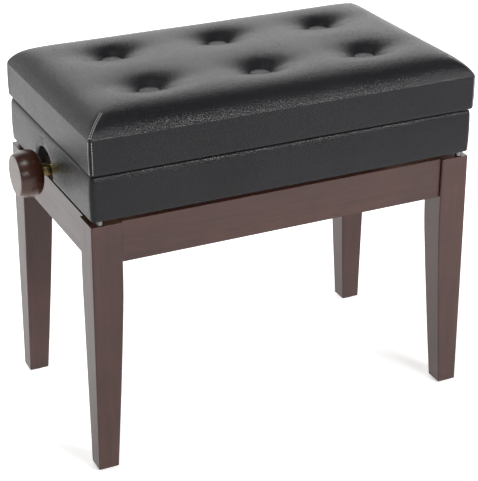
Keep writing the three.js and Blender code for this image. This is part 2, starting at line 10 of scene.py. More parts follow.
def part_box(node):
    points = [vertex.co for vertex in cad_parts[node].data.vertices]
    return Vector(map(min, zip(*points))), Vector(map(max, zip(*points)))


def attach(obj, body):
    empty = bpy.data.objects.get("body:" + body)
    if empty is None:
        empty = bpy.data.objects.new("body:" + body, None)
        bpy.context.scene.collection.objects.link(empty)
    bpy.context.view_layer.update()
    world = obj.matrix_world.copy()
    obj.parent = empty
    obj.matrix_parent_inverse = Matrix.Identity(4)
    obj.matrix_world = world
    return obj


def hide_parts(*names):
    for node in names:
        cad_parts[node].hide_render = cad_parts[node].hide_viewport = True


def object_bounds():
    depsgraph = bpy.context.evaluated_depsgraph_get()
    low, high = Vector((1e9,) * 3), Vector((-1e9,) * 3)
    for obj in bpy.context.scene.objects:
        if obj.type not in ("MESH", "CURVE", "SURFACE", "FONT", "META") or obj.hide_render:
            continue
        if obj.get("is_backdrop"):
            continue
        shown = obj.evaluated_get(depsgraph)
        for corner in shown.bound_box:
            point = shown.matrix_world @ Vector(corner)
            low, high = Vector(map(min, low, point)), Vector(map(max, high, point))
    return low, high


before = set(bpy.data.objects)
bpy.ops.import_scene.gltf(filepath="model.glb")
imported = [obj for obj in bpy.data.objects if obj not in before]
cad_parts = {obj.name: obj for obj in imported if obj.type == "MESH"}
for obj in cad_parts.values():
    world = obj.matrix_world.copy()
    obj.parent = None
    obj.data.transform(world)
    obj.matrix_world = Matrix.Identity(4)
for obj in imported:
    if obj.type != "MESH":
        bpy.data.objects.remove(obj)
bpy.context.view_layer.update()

MM = 0.001          # lengths below are in millimetres, and meshes in metres
CORNERS = [("front_left", -1, -1), ("front_right", 1, -1), ("rear_left", -1, 1),
           ("rear_right", 1, 1)]
SIDES = [("front", -1), ("rear", 1)]
ENDS = [("left", -1), ("right", 1)]


def box_mm(node):
    low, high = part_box(node)
    return np.array(low) / MM, np.array(high) / MM


# ------------------------------------------------------------------ mesh helpers
def make(name, points, faces, material, body):
    """A smooth mesh object from points in millimetres, riding on a body of the frame."""
    mesh = bpy.data.meshes.new(name)
    mesh.from_pydata((np.asarray(points, float) * MM).tolist(), [], faces)
    mesh.polygons.foreach_set("use_smooth", [True] * len(mesh.polygons))
    mesh.materials.append(material)
    obj = bpy.data.objects.new(name, mesh)
    bpy.context.scene.collection.objects.link(obj)
    if body:
        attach(obj, body)
    return obj


def grid_faces(rows, columns, wrap_columns, wrap_rows=False):
    """Quads between neighbours in a grid of points that is stored row by row."""
    faces = []
    for r in range(rows if wrap_rows else rows - 1):
        below, above = r * columns, (r + 1) % rows * columns
        for c in range(columns if wrap_columns else columns - 1):
            d = (c + 1) % columns
            faces.append((below + c, below + d, above + d, above + c))
    return faces


def turned(profile, origin, direction, sides=48, outline=None, closed=False):
    """A profile of (radius, along) turned about a line. outline(angle) scales the radius
    of the rings that the profile marks with a third value."""
    angles = np.arange(sides) * 2 * math.pi / sides
    turn = np.array(Vector(direction).to_track_quat("Z", "Y").to_matrix())
    rings = []
    for step in profile:
        radius = np.full(sides, float(step[0]))
        if len(step) > 2:
            radius = radius * np.array([outline(a) for a in angles])
        ring = np.stack([radius * np.cos(angles), radius * np.sin(angles),
                         np.full(sides, float(step[1]))], axis=1)
        rings.append(ring @ turn.T + np.array(origin, float))
    faces = grid_faces(len(profile), sides, True, closed)
    if not closed:
        last = (len(profile) - 1) * sides
        faces.append(tuple(reversed(range(sides))))
        faces.append(tuple(range(last, last + sides)))
    return np.concatenate(rings), faces


def eased(profile, steps=3):
    """A turned piece's profile with points added on a smooth curve between its own."""
    ends = [profile[0]] + list(profile) + [profile[-1]]
    line = []
    for a, b, c, d in zip(ends, ends[1:], ends[2:], ends[3:]):
        a, b, c, d = (np.array(q, float) for q in (a, b, c, d))
        for t in np.arange(steps) / steps:
            line.append(0.5 * (2 * b + (c - a) * t + (2 * a - 5 * b + 4 * c - d) * t ** 2
                               + (3 * b - a - 3 * c + d) * t ** 3))
    return [tuple(q) for q in line] + [profile[-1]]


def joined(parts):
    """Several (points, faces) as one."""
    points, faces, count = [], [], 0
    for part_points, part_faces in parts:
        points.append(part_points)
        faces.extend(tuple(i + count for i in face) for face in part_faces)
        count += len(part_points)
    return np.concatenate(points), faces


def subdivide(obj):
    """Smooths the mesh by one subdivision, and then closes any opening left in it."""
    modifier = obj.modifiers.new("subdivision", "SUBSURF")
    modifier.levels = modifier.render_levels = 1
    graph = bpy.context.evaluated_depsgraph_get()
    mesh = bpy.data.meshes.new_from_object(obj.evaluated_get(graph))
    obj.modifiers.clear()
    obj.data = mesh
    work = bmesh.new()
    work.from_mesh(mesh)
    opening = [edge for edge in work.edges if edge.is_boundary]
    if opening:
        bmesh.ops.contextual_create(work, geom=opening)
    work.to_mesh(mesh)
    work.free()


def surface_of(obj):
    """The object's final surface, to lay stitches on."""
    points = [vertex.co for vertex in obj.data.vertices]
    faces = [tuple(face.vertices) for face in obj.data.polygons if len(face.vertices) == 4]
    return BVHTree.FromPolygons(points, faces)


def smoothstep(value):
    """Eases from 0 to 1."""
    value = np.clip(value, 0, 1)
    return value * value * (3 - 2 * value)


def waves(x, y, size):
    """A smooth, irregular height between about -1 and 1, with features of that size."""
    u, v = x / size, y / size
    return (np.sin(1.7 * u + 0.9 * v + 0.4) + np.sin(-0.8 * u + 2.1 * v + 1.9)
            + np.sin(2.9 * u - 1.3 * v + 4.1) + np.sin(0.6 * u - 3.1 * v + 2.6)) / 4


# ------------------------------------------------------------------ material helpers
def new_material(name):
    material = bpy.data.materials.new(name)
    material.use_nodes = True
    tree = material.node_tree
    return material, tree, tree.nodes["Principled BSDF"]


def put(tree, kind, settings=None, inputs=None):
    """A shader node with its settings, and its inputs given as values or as sockets."""
    node = tree.nodes.new("ShaderNode" + kind)
    for key, value in (settings or {}).items():
        setattr(node, key, value)
    for key, value in (inputs or {}).items():
        socket = node.inputs[key]
        if isinstance(value, bpy.types.NodeSocket):
            tree.links.new(value, socket)
        else:
            socket.default_value = value
    return node


def scaled_place(tree, scale):
    """The point on the object, in metres times a scale along each axis."""
    place = put(tree, "TexCoord").outputs["Object"]
    return put(tree, "Mapping", None, {"Vector": place, "Scale": scale}).outputs[0]


def noise(tree, vector, scale, detail=3.0, roughness=0.5, distortion=0.0):
    return put(tree, "TexNoise", None, {
        "Vector": vector, "Scale": scale, "Detail": detail, "Roughness": roughness,
        "Distortion": distortion}).outputs["Fac"]


def spread(tree, value, low, high, to_low, to_high):
    """A value's range mapped onto another."""
    return put(tree, "MapRange", None, {
        "Value": value, "From Min": low, "From Max": high, "To Min": to_low,
        "To Max": to_high}).outputs[0]


def blend(tree, factor, first, second):
    """A colour between two, by a factor."""
    node = put(tree, "Mix", {"data_type": "RGBA"})
    for index, value in ((0, factor), (6, first), (7, second)):
        if isinstance(value, bpy.types.NodeSocket):
            tree.links.new(value, node.inputs[index])
        else:
            node.inputs[index].default_value = value
    return node.outputs[2]


def arithmetic(tree, operation, first, second):
    return put(tree, "Math", {"operation": operation}, {0: first, 1: second}).outputs[0]


def bumped(tree, shader, height, distance, strength, below=None):
    """Gives the shader a bump of a depth in millimetres, over another bump if there is one."""
    inputs = {"Height": height, "Distance": distance * MM, "Strength": strength}
    if below is not None:
        inputs["Normal"] = below
    bump = put(tree, "Bump", None, inputs)
    tree.links.new(bump.outputs[0], shader.inputs["Normal"])


# ------------------------------------------------------------------ materials
def vinyl_material(name, dark, light, grain_depth):
    """Leatherette: small raised pebbles of uneven size, finer creases between them, and a
    sheen that varies over the panel."""
    pebbles_per_metre, unevenness = 520.0, 1.6 * MM
    material, tree, shader = new_material(name)
    place = scaled_place(tree, (1, 1, 1))
    warp = put(tree, "TexNoise", None, {"Vector": place, "Scale": 260.0, "Detail": 2.0})
    moved = put(tree, "VectorMath", {"operation": "MULTIPLY_ADD"}, {
        0: warp.outputs["Color"], 1: (unevenness,) * 3, 2: place}).outputs[0]
    pebbles = put(tree, "TexVoronoi", {"feature": "DISTANCE_TO_EDGE"}, {
        "Vector": moved, "Scale": pebbles_per_metre}).outputs["Distance"]
    raised = spread(tree, pebbles, 0.0, 0.28, 0.0, 1.0)
    fine = noise(tree, place, 1900.0, 2.0)
    drape = noise(tree, place, 26.0, 2.0)
    height = arithmetic(tree, "ADD", raised, arithmetic(tree, "MULTIPLY", fine, 0.35))
    patch = noise(tree, place, 9.0, 3.0)
    tree.links.new(blend(tree, patch, dark, light), shader.inputs["Base Color"])
    creases = spread(tree, raised, 0.0, 1.0, 0.1, 0.0)
    sheen = spread(tree, patch, 0.3, 0.7, 0.21, 0.26)
    tree.links.new(arithmetic(tree, "ADD", sheen, creases), shader.inputs["Roughness"])
    soft = put(tree, "Bump", None, {"Height": drape, "Distance": 0.6 * MM, "Strength": 0.35})
    bumped(tree, shader, height, grain_depth, 0.9, soft.outputs[0])
    shader.inputs["IOR"].default_value = 1.27
    return material


def wood_material(name, axis, dark, light, gloss, coat):
    """Straight-grained wood whose grain runs along one axis, under stain and lacquer."""
    material, tree, shader = new_material(name)
    along, across = 7.0, 130.0
    scale = [across] * 3
    scale["xyz".index(axis)] = along
    place = scaled_place(tree, (1, 1, 1))
    stretched = scaled_place(tree, scale)
    streaks = noise(tree, stretched, 1.0, 6.0, 0.62, 0.4)
    pore_scale = [620.0] * 3
    pore_scale["xyz".index(axis)] = 45.0
    pores = noise(tree, scaled_place(tree, pore_scale), 1.0, 2.0, 0.5)
    pore_mask = spread(tree, pores, 0.56, 0.68, 0.0, 1.0)
    mottle = noise(tree, place, 14.0, 3.0, 0.5)
    grain = arithmetic(tree, "ADD", arithmetic(tree, "MULTIPLY", streaks, 0.6),
                       arithmetic(tree, "MULTIPLY", mottle, 0.4))
    colour = blend(tree, spread(tree, grain, 0.36, 0.64, 0.0, 1.0), dark, light)
    darker = tuple(0.6 * c for c in dark[:3]) + (1,)
    pore_tint = arithmetic(tree, "MULTIPLY", pore_mask, 0.4)
    tree.links.new(blend(tree, pore_tint, colour, darker), shader.inputs["Base Color"])
    rough = spread(tree, streaks, 0.3, 0.7, gloss - 0.04, gloss + 0.06)
    tree.links.new(rough, shader.inputs["Roughness"])
    height = arithmetic(tree, "SUBTRACT", arithmetic(tree, "MULTIPLY", streaks, 0.5), pore_mask)
    bumped(tree, shader, height, 0.05, 0.5)
    shader.inputs["IOR"].default_value = 1.43
    shader.inputs["Coat Weight"].default_value = coat
    shader.inputs["Coat Roughness"].default_value = 0.22
    return material


def metal_material(name, colour, gloss, brush_axis=None):
    """Metal with fine brush lines or casting marks and uneven gloss."""
    speck = 0.06
    material, tree, shader = new_material(name)
    scale = [1500.0] * 3
    if brush_axis:
        scale["xyz".index(brush_axis)] = 25.0
    lines = noise(tree, scaled_place(tree, scale), 1.0, 3.0)
    patch = noise(tree, scaled_place(tree, (1, 1, 1)), 60.0, 4.0, 0.6)
    worn = tuple(0.72 * c for c in colour[:3]) + (1,)
    tree.links.new(blend(tree, spread(tree, patch, 0.35, 0.75, 0.0, 0.7), colour, worn),
                   shader.inputs["Base Color"])
    shader.inputs["Metallic"].default_value = 1.0
    uneven = arithmetic(tree, "ADD", arithmetic(tree, "MULTIPLY", lines, 0.5),
                        arithmetic(tree, "MULTIPLY", patch, 0.5))
    tree.links.new(spread(tree, uneven, 0.3, 0.7, gloss - speck, gloss + speck),
                   shader.inputs["Roughness"])
    bumped(tree, shader, lines, 0.02, 0.5)
    return material


def coated_material(name, colour, gloss, texture_size, depth):
    """Powder coat or moulded plastic: an orange-peel skin with a slight colour drift."""
    material, tree, shader = new_material(name)
    place = scaled_place(tree, (1, 1, 1))
    peel = noise(tree, place, 1000.0 / texture_size, 2.0)
    drift = noise(tree, place, 18.0, 3.0)
    lighter = tuple(1.7 * c for c in colour[:3]) + (1,)
    tree.links.new(blend(tree, drift, colour, lighter), shader.inputs["Base Color"])
    tree.links.new(spread(tree, drift, 0.3, 0.7, gloss - 0.05, gloss + 0.07),
                   shader.inputs["Roughness"])
    bumped(tree, shader, peel, depth, 0.6)
    return material


VINYL = vinyl_material("leatherette", (0.008, 0.008, 0.0092, 1), (0.014, 0.014, 0.0156, 1), 0.15)
WALNUT_DARK, WALNUT_LIGHT = (0.029, 0.0098, 0.0068, 1), (0.051, 0.018, 0.0135, 1)
WALNUT = {axis: wood_material(f"walnut_{axis}", axis, WALNUT_DARK, WALNUT_LIGHT, 0.36, 0.12)
          for axis in "xyz"}
KNOB_DARK, KNOB_LIGHT = (0.036, 0.011, 0.006, 1), (0.082, 0.026, 0.013, 1)
KNOB_WOOD = wood_material("walnut_knob", "x", KNOB_DARK, KNOB_LIGHT, 0.3, 0.1)
# Both grain tones are darker than the raw wood's own colour. That is painted shade, so the rails
# and corner blocks read dark inside the frame and through the notches. The grain between the two
# tones is the wood's own.
RAW_DARK_WITH_PAINTED_SHADE, RAW_LIGHT_WITH_PAINTED_SHADE = (0.10, 0.058, 0.033, 1), (0.17, 0.105, 0.062, 1)
RAW_WOOD_WITH_PAINTED_SHADE = {axis: wood_material(f"raw_wood_with_painted_shade_{axis}", axis, RAW_DARK_WITH_PAINTED_SHADE, RAW_LIGHT_WITH_PAINTED_SHADE, 0.68, 0.0)
       for axis in "xy"}
PLY_DARK, PLY_LIGHT = (0.42, 0.28, 0.16, 1), (0.62, 0.46, 0.29, 1)
PLYWOOD = wood_material("plywood", "x", PLY_DARK, PLY_LIGHT, 0.62, 0.0)
STEEL = metal_material("steel", (0.55, 0.56, 0.57, 1), 0.34, "x")
BRIGHT_STEEL = metal_material("bright_steel", (0.66, 0.66, 0.66, 1), 0.2)
DARK_STEEL = metal_material("dark_steel", (0.2, 0.2, 0.2, 1), 0.34)
BRASS = metal_material("brass", (0.62, 0.50, 0.20, 1), 0.2)
BLACK_STEEL = coated_material("powder_coat", (0.016, 0.016, 0.017, 1), 0.46, 0.7, 0.05)
PLASTIC = coated_material("moulded_plastic", (0.018, 0.018, 0.018, 1), 0.55, 0.35, 0.03)
# Grey thread, lighter than the dark thread it stands for. This is a painted highlight, so the
# stitches show as light dots.
THREAD_PAINTED_HIGHLIGHT = coated_material("sewing_thread_painted_highlight", (0.30, 0.30, 0.30, 1), 0.3, 0.25, 0.04)


# ------------------------------------------------------------------ lid cushion
LID_CORNER = 4.0        # radius in plan
EDGE_STEPS = np.array([0, 0.7, 1.5, 2.5, 3.5, 4.7, 6, 7.5, 9, 10.7, 12.5, 14.5, 17, 20, 23.5,
                       27.5, 31.5])     # the grid's lines near an edge, by their distance from it
GRID_STEP = 4.0         # between its lines elsewhere
SHOULDER = 15.5         # how quickly the crown rises from the edge
CROWN_HEIGHT = 31.5
EDGE_HEIGHT = 47.0      # of the top edge over the lid's underside
DIMPLE_REACH = 23.0     # front-to-back reach of the pull of a button
DIMPLE_STRETCH = 2.0    # how much wider it reaches along the lid
PIT_SHARE = 0.42        # of a dimple's depth: the steep pit, and the rest is a wide bowl
BUTTON_SINK = 1.2       # how far the filling lets a button down
SEAM_LENGTH = 28.0      # of a corner's dart, on the top
DART_DEPTH, DART_HALF = 2.0, 0.9
DART_LIP = 0.5          # how far the cover swells beside a dart
SIDE_SEAM = 0.7         # depth of the seam down each corner
CLOTH_FRAMES = 20
CLOTH_PRESSURE = 2.0
CLOTH_TRAVEL = 4.0      # most that a point of the cover may move
PINNED_BORDER = 4.5     # width held by the edge's fold
lid_low, lid_high = box_mm("seat_cover")
lid_middle = (lid_low + lid_high) / 2
lid_half = (lid_high - lid_low) / 2
edge_z = lid_low[2] + EDGE_HEIGHT

buttons = {}
for row, _ in SIDES:
    for place in ("left", "middle", "right"):
        low, high = box_mm(f"button_{row}_{place}")
        buttons[f"{row}_{place}"] = ((low + high) / 2, (high - low)[0] / 2, low[2])


def lid_steps(k):
    """Places of the grid's lines along X or Y, closer together near the edges."""
    low, high = lid_low[k], lid_high[k]
    count = round((high - low - 2 * EDGE_STEPS[-1]) / GRID_STEP)
    middle = np.linspace(low + EDGE_STEPS[-1], high - EDGE_STEPS[-1], count + 1)
    return np.concatenate([low + EDGE_STEPS[:-1], middle, (high - EDGE_STEPS[:-1])[::-1]])


def round_corners(x, y, radius):
    """Points of the lid's rectangle, with those near its corners drawn onto an arc."""
    u, v = x - lid_middle[0], y - lid_middle[1]
    q = np.maximum(np.abs(u) - (lid_half[0] - radius), 0)
    w = np.maximum(np.abs(v) - (lid_half[1] - radius), 0)
    scale = np.maximum(q, w) / np.maximum(np.hypot(q, w), 1e-9)
    u = np.sign(u) * (np.minimum(np.abs(u), lid_half[0] - radius) + q * scale)
    v = np.sign(v) * (np.minimum(np.abs(v), lid_half[1] - radius) + w * scale)
    return u + lid_middle[0], v + lid_middle[1]


def inside_edge(x, y):
    """How far inside the lid's end and side a point lies."""
    return (lid_half[0] - np.abs(x - lid_middle[0]), lid_half[1] - np.abs(y - lid_middle[1]))


def crown_height(x, y):
    """Height of the filled top without its buttons: steep at the edges, level inside."""
    from_x, from_y = inside_edge(x, y)
    near_x, near_y = np.maximum(from_x, 1e-3), np.maximum(from_y, 1e-3)
    nearest = (near_x ** -3.0 + near_y ** -3.0) ** (-1 / 3)
    return edge_z + CROWN_HEIGHT * (1 - np.exp(-nearest / SHOULDER))


def top_height(x, y):
    """The crown, pulled down round each button."""
    height = crown_height(x, y)
    for centre, radius, floor in buttons.values():
        depth = crown_height(centre[0], centre[1]) - floor + BUTTON_SINK
        ring = radius + 0.6
        away = np.maximum(np.hypot(x - centre[0], y - centre[1]), ring)
        wide = np.hypot((x - centre[0]) / DIMPLE_STRETCH, y - centre[1])
        pit = (ring / away) ** 1.5
        bowl = np.exp(-(wide / DIMPLE_REACH) ** 2)
        height = height - depth * (PIT_SHARE * pit + (1 - PIT_SHARE) * bowl)
    return height


def settle(points, faces, pinned):
    """Cloth over its filling, held where pinned and swollen a little by pressure."""
    sheet = make("cloth_sheet", points, faces, VINYL, None)
    group = sheet.vertex_groups.new(name="pinned")
    group.add([int(i) for i in np.flatnonzero(pinned)], 1.0, "REPLACE")
    cloth = sheet.modifiers.new("cloth", "CLOTH")
    cloth.settings.quality = 6
    cloth.settings.mass = 0.3
    cloth.settings.tension_stiffness = 25
    cloth.settings.compression_stiffness = 25
    cloth.settings.bending_stiffness = 2
    cloth.settings.use_pressure = True
    cloth.settings.uniform_pressure_force = CLOTH_PRESSURE
    cloth.settings.effector_weights.gravity = 0
    cloth.settings.vertex_group_mass = "pinned"
    cloth.point_cache.frame_end = CLOTH_FRAMES
    scene = bpy.context.scene
    for step in range(1, CLOTH_FRAMES + 1):
        scene.frame_set(step)
    result = sheet.evaluated_get(bpy.context.evaluated_depsgraph_get()).data
    moved = np.empty(len(points) * 3, np.float32)
    result.vertices.foreach_get("co", moved)
    shift = moved.reshape(-1, 3) / MM - points
    length = np.linalg.norm(shift, axis=1, keepdims=True)
    scene.frame_set(1)
    bpy.data.objects.remove(sheet)
    return points + shift * np.minimum(1, CLOTH_TRAVEL / np.maximum(length, 1e-9))


def lid_top():
    """The top panel's points and faces, the order of its border, and each point's place in
    plan before the corners were rounded."""
    xs, ys = lid_steps(0), lid_steps(1)
    x, y = (a.ravel() for a in np.meshgrid(xs, ys))
    u, v = round_corners(x, y, LID_CORNER)
    points = np.stack([u, v, top_height(x, y)], axis=1)
    columns, rows = len(xs), len(ys)
    faces = grid_faces(rows, columns, False)
    pinned = np.minimum(*inside_edge(x, y)) < PINNED_BORDER
    for centre, radius, _ in buttons.values():
        pinned |= np.hypot(x - centre[0], y - centre[1]) < radius + 1
    points = settle(points, faces, pinned)
    # the darts: a groove with full lips along each corner's diagonal
    from_x, from_y = inside_edge(x, y)
    off_dart = np.abs(from_x - from_y)
    fade = np.sqrt(np.clip(1 - (from_x + from_y) / 2 / SEAM_LENGTH, 0, 1))
    groove = DART_DEPTH * np.exp(-(off_dart / DART_HALF) ** 2)
    lips = DART_LIP * np.exp(-((off_dart - 3) / 1.6) ** 2)
    points[:, 2] -= fade * (groove - lips)
    grid = np.arange(rows * columns).reshape(rows, columns)
    border = np.concatenate([grid[0, :-1], grid[:-1, -1], grid[-1, :0:-1], grid[:0:-1, 0]])
    return points, faces, border, np.stack([x, y], axis=1)


def lid_side(border_places):
    """Rings below the top's border: the boxed side, the roll under the board and the
    inner wall up to the board's top."""
    board_top = box_mm("lid_board")[1][2] - lid_low[2] + 0.3
    profile = [(46.3, 0.12), (45.0, 0.1), (40.0, 0.0), (33.0, -0.2), (25.0, -0.3),
               (17.0, -0.25), (10.0, -0.1), (5.0, 0.0), (2.2, 0.1), (0.9, 0.5), (0.2, 1.2),
               (-0.05, 2.2), (0.1, 3.1), (1.0, 3.2), (board_top, 3.2)]
    corner = np.all(np.abs(np.abs(border_places - lid_middle[:2]) - lid_half[:2]) < 0.01, axis=1)
    rings = []
    for z, inset in profile:
        u, v = round_corners(*border_places.T, max(LID_CORNER - max(inset, 0), 1))
        ring = np.stack([u, v], axis=1) - lid_middle[:2]
        seam = SIDE_SEAM if inset < 1.5 else 0.0
        shrink = 1 - (inset + np.where(corner, seam, 0))[:, None] / lid_half[:2]
        ripple = 0.12 * waves(ring[:, 0] + ring[:, 1], np.full(len(ring), 3.0 * z), 40.0)
        ring = ring * (shrink + ripple[:, None] / lid_half[:2]) + lid_middle[:2]
        rings.append(np.column_stack([ring, np.full(len(ring), lid_low[2] + z)]))
    return rings


def make_cushion():
    """The lid's cover over its foam: crowned top, boxed sides and rolled lower edge."""
    points, faces, border, places = lid_top()
    rings = lid_side(places[border])
    count, top = len(border), len(points)
    ring_ids = [border] + [top + k * count + np.arange(count) for k in range(len(rings))]
    for upper, lower in zip(ring_ids, ring_ids[1:]):
        for c in range(count):
            d = (c + 1) % count
            faces.append((int(upper[d]), int(upper[c]), int(lower[c]), int(lower[d])))
    cushion = make("lid_cushion", np.concatenate([points] + rings), faces, VINYL, "lid")
    subdivide(cushion)
    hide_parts("seat_cover", "foam_pad")
    return cushion


def make_button(name, centre, radius, floor):
    """A covered button: a low dome whose cover is gathered over the rim."""
    sides = 64
    lift = floor - BUTTON_SINK + 0.6
    profile = [(0.3, 0), (8, 0), (radius - 1.2, 0.1), (radius - 0.4, 0.7), (radius, 1.6),
               (radius - 0.1, 2.5), (radius - 0.7, 3.3), (radius - 2.0, 4.0), (radius - 4.0, 4.5),
               (radius - 7.0, 4.9), (4, 5.15), (0.3, 5.2)]
    points, faces = turned(eased(profile), (centre[0], centre[1], lift), (0, 0, 1), sides)
    angle = np.arctan2(points[:, 1] - centre[1], points[:, 0] - centre[0])
    out = np.hypot(points[:, 1] - centre[1], points[:, 0] - centre[0]) / radius
    gathered = 0.12 * np.sin(17 * angle) + 0.07 * np.sin(29 * angle + 1)
    points[:, 2] += gathered * smoothstep((out - 0.55) / 0.4) * (points[:, 2] > lift + 1)
    button = make(f"tuft_{name}", points, faces, VINYL, "lid")
    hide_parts(f"button_{name}")


# ------------------------------------------------------------------ stitches
def stitch(start, end, normal):
    """One stitch between two points: a short thread that dips in at both ends."""
    along = end - start
    side = along.cross(normal).normalized()
    rings = []
    for t, lift, radius in [(0, -0.35, 0.26), (0.12, 0.18, 0.38), (0.5, 0.4, 0.42),
                            (0.88, 0.18, 0.38), (1, -0.35, 0.26)]:
        centre = start + along * t + normal * lift
        for k in range(6):
            angle = k * math.pi / 3
            rings.append(centre + (side * math.cos(angle) + normal * math.sin(angle)) * radius)
    faces = grid_faces(5, 6, True)
    faces += [tuple(reversed(range(6))), tuple(range(24, 30))]
    return np.array(rings), faces


def stitch_row(path, surface, pitch=3.6, length=2.6):
    """Stitches laid on a surface along a path of points."""
    path = np.array(path, float)
    steps = np.linalg.norm(np.diff(path, axis=0), axis=1)
    reach = np.concatenate([[0], np.cumsum(steps)])
    made = []
    for start in np.arange(0.5, reach[-1] - length, pitch):
        ends = []
        for distance in (start, start + length):
            point = Vector([np.interp(distance, reach, path[:, k]) for k in range(3)]) * MM
            place, normal, _, _ = surface.find_nearest(point)
            ends.append((place / MM, normal))
        made.append(stitch(ends[0][0], ends[1][0], ends[0][1]))
    return made


def make_seam_stitches(cushion):
    """Both sides of each corner's dart, then down both faces beside the corner."""
    surface = surface_of(cushion)
    rows = []
    for _, sx, sy in CORNERS:
        for side in (-1, 1):
            away = 1.7 * side
            dart = []
            for inset in np.linspace(SEAM_LENGTH, 2, 12):
                x = lid_middle[0] + sx * (lid_half[0] - inset - away / 2)
                y = lid_middle[1] + sy * (lid_half[1] - inset + away / 2)
                dart.append((x, y, top_height(np.array(x), np.array(y))))
            rows += stitch_row(dart, surface)
            face_x = lid_middle[0] + sx * (lid_half[0] - (3.4 if side < 0 else 0))
            face_y = lid_middle[1] + sy * (lid_half[1] - (3.4 if side > 0 else 0))
            down = [(face_x, face_y, z) for z in np.linspace(edge_z - 2, lid_low[2] + 2, 8)]
            rows += stitch_row(down, surface)
    thread = make("lid_seam_stitches", *joined(rows), THREAD_PAINTED_HIGHLIGHT, "lid")


# ------------------------------------------------------------------ storage box cover
BOX_RADIUS = 7.0        # of the corners in plan
WRAP = 0.45             # thickness of the cover where it is turned over an edge
TOP_ROLL = 9.0          # height over which the cover rounds onto the walls' tops
BOTTOM_ROLL = 3.5
SEAM_STEP = 1.9         # how deep the cover drops at the lapped seam in each end
FACE_BULGE = 0.55
OUTER_DEPTH = 2.4       # rows that lie less deep than this are on the outer face
ZONE_MARGIN = 15.0      # how far beside the notch its shape draws the cover's columns
cover_low, cover_high = box_mm("box_cover")
wall_low, wall_high = box_mm("box_wall_left")
cover_middle = (cover_low + cover_high) / 2
cover_half = (cover_high - cover_low) / 2
wrap_top = wall_high[2] + WRAP + 0.1


def notch_shape():
    """Middle, half-width, top and springing height of the notch, read off the end wall."""
    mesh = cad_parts["box_wall_left"].data
    points = np.array([v.co for v in mesh.vertices]) / MM
    inner = points[(points[:, 2] > wall_low[2] + 0.5) & (points[:, 2] < wall_high[2] - 0.5)]
    straight = inner[inner[:, 2] < inner[:, 2].min() + 0.01]
    low, high = straight[:, 1].min(), straight[:, 1].max()
    return (low + high) / 2, (high - low) / 2, inner[:, 2].max(), inner[:, 2].min()


def notch_border():
    """The wall's lower edge near the notch, as a dense line of Y and Z."""
    middle, half, top, spring = notch_shape()
    bottom = wall_low[2]
    reach = ZONE_MARGIN
    line = [(middle - half - reach, bottom)]
    line += [(middle - half - reach * (1 - t), bottom) for t in np.linspace(0.05, 1, 20)]
    line += [(middle - half, z) for z in np.linspace(bottom, spring, 20)[1:]]
    for angle in np.linspace(math.pi, 0, 80)[1:]:
        line.append((middle + half * math.cos(angle), spring + (top - spring) * math.sin(angle)))
    line += [(middle + half, z) for z in np.linspace(spring, bottom, 20)[1:]]
    line += [(middle + half + reach * t, bottom) for t in np.linspace(0.05, 1, 20)]
    return np.array(line)


def end_columns(y_low, y_high):
    """Y of each column along the top of an end panel, closer above the notch, with the
    point and the direction of the lower edge that each column starts from."""
    middle, half, _, _ = notch_shape()
    zone = half + ZONE_MARGIN
    fine = 4.0
    parts = [np.linspace(y_low, middle - zone, 14)[:-1],
             np.linspace(middle - zone, middle - fine, 26)[:-1],
             np.linspace(middle - fine, middle + fine, 13)[:-1],
             np.linspace(middle + fine, middle + zone, 26)[:-1],
             np.linspace(middle + zone, y_high, 11)]
    tops = np.concatenate(parts)
    line = notch_border()
    reach = np.concatenate([[0], np.cumsum(np.linalg.norm(np.diff(line, axis=0), axis=1))])
    share = (tops - (middle - zone)) / (2 * zone)
    starts = np.column_stack([tops, np.full(len(tops), wall_low[2])])
    ways = np.column_stack([np.zeros(len(tops)), np.ones(len(tops))])
    for k in np.flatnonzero((share > 0) & (share < 1)):
        here = share[k] * reach[-1]
        starts[k] = [np.interp(here, reach, line[:, i]) for i in (0, 1)]
        before, after = (np.array([np.interp(here + s, reach, line[:, i]) for i in (0, 1)])
                         for s in (-0.8, 0.8))
        run = (after - before) / np.linalg.norm(after - before)
        ways[k] = (-run[1], run[0])
    return tops, starts, ways


def cover_columns():
    """The cover's outline as columns, anticlockwise: place on the outer face, outward
    direction, inward shift at the corners, and the lower edge's point and direction."""
    columns = []
    inner = cover_half[:2] - BOX_RADIUS

    def straight(axis, sign, values, starts, ways):
        other = 1 - axis
        for value, start, way in zip(values, starts, ways):
            place, out, shift = np.zeros(2), np.zeros(2), np.zeros(2)
            place[axis] = value
            place[other] = cover_middle[other] + sign * cover_half[other]
            out[other] = sign
            shift[other] = sign
            away = value - cover_middle[axis]
            shift[axis] = np.sign(away) * np.clip((abs(away) - inner[axis] + 50) / 50, 0, 1)
            along = start[0] - value
            columns.append((place, out, shift, axis, along, start[1], way))

    def corner(sx, sy, first):
        centre = cover_middle[:2] + np.array([sx, sy]) * inner
        for angle in np.radians(first + np.linspace(0, 90, 9)[1:-1]):
            out = np.array([math.cos(angle), math.sin(angle)])
            place = centre + out * BOX_RADIUS
            columns.append((place, out, np.array([sx, sy], float), 0, 0.0, wall_low[2],
                            np.array([0.0, 1.0])))

    x_low, x_high = cover_middle[0] - inner[0], cover_middle[0] + inner[0]
    y_low, y_high = cover_middle[1] - inner[1], cover_middle[1] + inner[1]
    xs = np.linspace(x_low, x_high, 62)
    plain_starts = np.column_stack([xs, np.full(len(xs), wall_low[2])])
    plain_ways = np.tile([0.0, 1.0], (len(xs), 1))
    tops, starts, ways = end_columns(y_low, y_high)
    straight(0, -1, xs, plain_starts, plain_ways)
    corner(1, -1, 270)
    straight(1, 1, tops, starts, ways)
    corner(1, 1, 0)
    straight(0, 1, xs[::-1], plain_starts[::-1], plain_ways)
    corner(-1, 1, 90)
    straight(1, -1, tops[::-1], starts[::-1], ways[::-1])
    corner(-1, -1, 180)
    return columns


